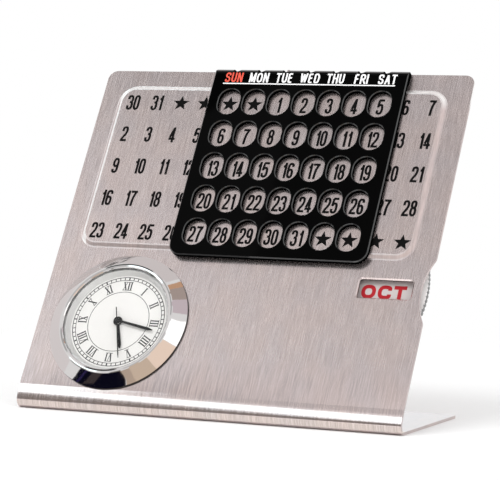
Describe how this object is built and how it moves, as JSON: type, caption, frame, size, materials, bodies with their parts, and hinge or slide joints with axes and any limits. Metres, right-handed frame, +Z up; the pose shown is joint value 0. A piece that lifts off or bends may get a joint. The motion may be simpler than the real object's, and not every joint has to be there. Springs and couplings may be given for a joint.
{
  "type": "perpetual desk calendar with clock",
  "caption": "Perpetual desk calendar bent from brushed steel, with a sliding black weekday frame over printed dates, a month disc behind a window and a round insert clock.",
  "frame": {"origin": "Centre of the flat base's underside, on the desk.", "axes": "Z up; X to the reader's right along the width; Y to the back, so the leaning panel faces -Y."},
  "size_m": [0.1404, 0.0698, 0.1181],
  "materials": {
    "brushed_stainless": "satin",
    "gloss_black": "gloss",
    "disc_grey": "satin",
    "bright_steel": "satin",
    "white_nylon": "satin",
    "spring_steel": "satin",
    "bezel_chrome": "polished",
    "clear_glass": "gloss",
    "silver_plastic": "satin",
    "dial_white": "matte",
    "case_black": "satin",
    "grip_rubber": "matte",
    "hand_black": "gloss",
    "holder_white": "satin",
    "movement_grey": "satin",
    "gear_brass": "satin",
    "gear_white": "satin",
    "magnet_grey": "matte",
    "core_steel": "satin",
    "coil_copper": "gloss",
    "board_green": "satin",
    "chip_black": "matte",
    "cell_steel": "satin",
    "print_black": "satin",
    "print_white": "satin",
    "print_red": "satin"
  },
  "bodies": {
    "stand": {"stand_panel": "brushed_stainless", "disc_stud": "bright_steel", "disc_washer": "white_nylon", "disc_spring_washer": "spring_steel", "disc_nut": "bright_steel", "clock_bezel": "bezel_chrome", "clock_lens": "clear_glass", "reflector_ring": "silver_plastic", "clock_dial": "dial_white", "clock_case": "case_black", "clock_grip_ring": "grip_rubber", "clock_back_lid": "case_black", "movement_holder": "holder_white", "main_plate": "movement_grey", "rear_plate": "movement_grey", "plate_screws": "bright_steel", "stator": "core_steel", "coil_core": "core_steel", "coil": "coil_copper", "circuit_board": "board_green", "circuit_chip": "chip_black", "quartz_crystal": "bright_steel", "button_cell": "cell_steel", "cell_contact": "spring_steel"},
    "slider": {"weekday_slider": "gloss_black"},
    "disc": {"month_disc": "disc_grey"},
    "setting": {"setting_wheel": "gear_white", "setting_knob": "case_black"},
    "minute": {"cannon_pinion": "gear_brass", "minute_hand": "hand_black"},
    "hour": {"hour_wheel": "gear_white", "hour_hand": "hand_black"},
    "rotor": {"rotor_pinion": "gear_white", "rotor_magnet": "magnet_grey"},
    "idler": {"idler_wheel": "gear_white"},
    "seconds": {"seconds_wheel": "gear_brass", "second_hand": "hand_black"},
    "third": {"third_wheel": "gear_white"},
    "centre": {"centre_wheel": "gear_white"},
    "hatch": {"battery_hatch": "case_black"}
  },
  "joints": [
    {"name": "slider_shift", "type": "slide", "parent": "stand", "child": "slider", "axis": [1, 0, 0], "range_m": [-0.038, 0.019]},
    {"name": "month_turn", "type": "hinge", "parent": "stand", "child": "disc", "pos_m": [0.031, -0.00464, 0.04536], "axis": [0, -0.8572, 0.515], "continuous": true},
    {"name": "setting_turn", "type": "hinge", "parent": "stand", "child": "setting", "pos_m": [-0.039, -0.0111, 0.0346], "axis": [0, -0.8572, 0.515], "continuous": true},
    {"name": "minute_turn", "type": "hinge", "parent": "stand", "child": "minute", "pos_m": [-0.039, -0.01388, 0.02997], "axis": [0, -0.8572, 0.515], "continuous": true},
    {"name": "hour_turn", "type": "hinge", "parent": "stand", "child": "hour", "pos_m": [-0.039, -0.01388, 0.02997], "axis": [0, -0.8572, 0.515], "continuous": true},
    {"name": "rotor_turn", "type": "hinge", "parent": "stand", "child": "rotor", "pos_m": [-0.03269, -0.01701, 0.02477], "axis": [0, -0.8572, 0.515], "continuous": true},
    {"name": "idler_turn", "type": "hinge", "parent": "stand", "child": "idler", "pos_m": [-0.03479, -0.01513, 0.02789], "axis": [0, -0.8572, 0.515], "continuous": true},
    {"name": "seconds_turn", "type": "hinge", "parent": "stand", "child": "seconds", "pos_m": [-0.039, -0.01388, 0.02997], "axis": [0, -0.8572, 0.515], "continuous": true},
    {"name": "third_turn", "type": "hinge", "parent": "stand", "child": "third", "pos_m": [-0.04287, -0.01528, 0.02765], "axis": [0, -0.8572, 0.515], "continuous": true},
    {"name": "centre_turn", "type": "hinge", "parent": "stand", "child": "centre", "pos_m": [-0.039, -0.01388, 0.02997], "axis": [0, -0.8572, 0.515], "continuous": true},
    {"name": "hatch_turn", "type": "hinge", "parent": "stand", "child": "hatch", "pos_m": [-0.04697, -0.01151, 0.03392], "axis": [0, -0.8572, 0.515], "range_deg": [0, 45]}
  ],
  "couplings": [
    {"joint": "minute_turn", "follows": "setting_turn", "ratio": -3},
    {"joint": "hour_turn", "follows": "setting_turn", "ratio": -0.25},
    {"joint": "idler_turn", "follows": "rotor_turn", "ratio": -0.16667},
    {"joint": "seconds_turn", "follows": "rotor_turn", "ratio": 0.033333},
    {"joint": "third_turn", "follows": "rotor_turn", "ratio": -0.0044444},
    {"joint": "centre_turn", "follows": "rotor_turn", "ratio": 0.00055556}
  ]
}
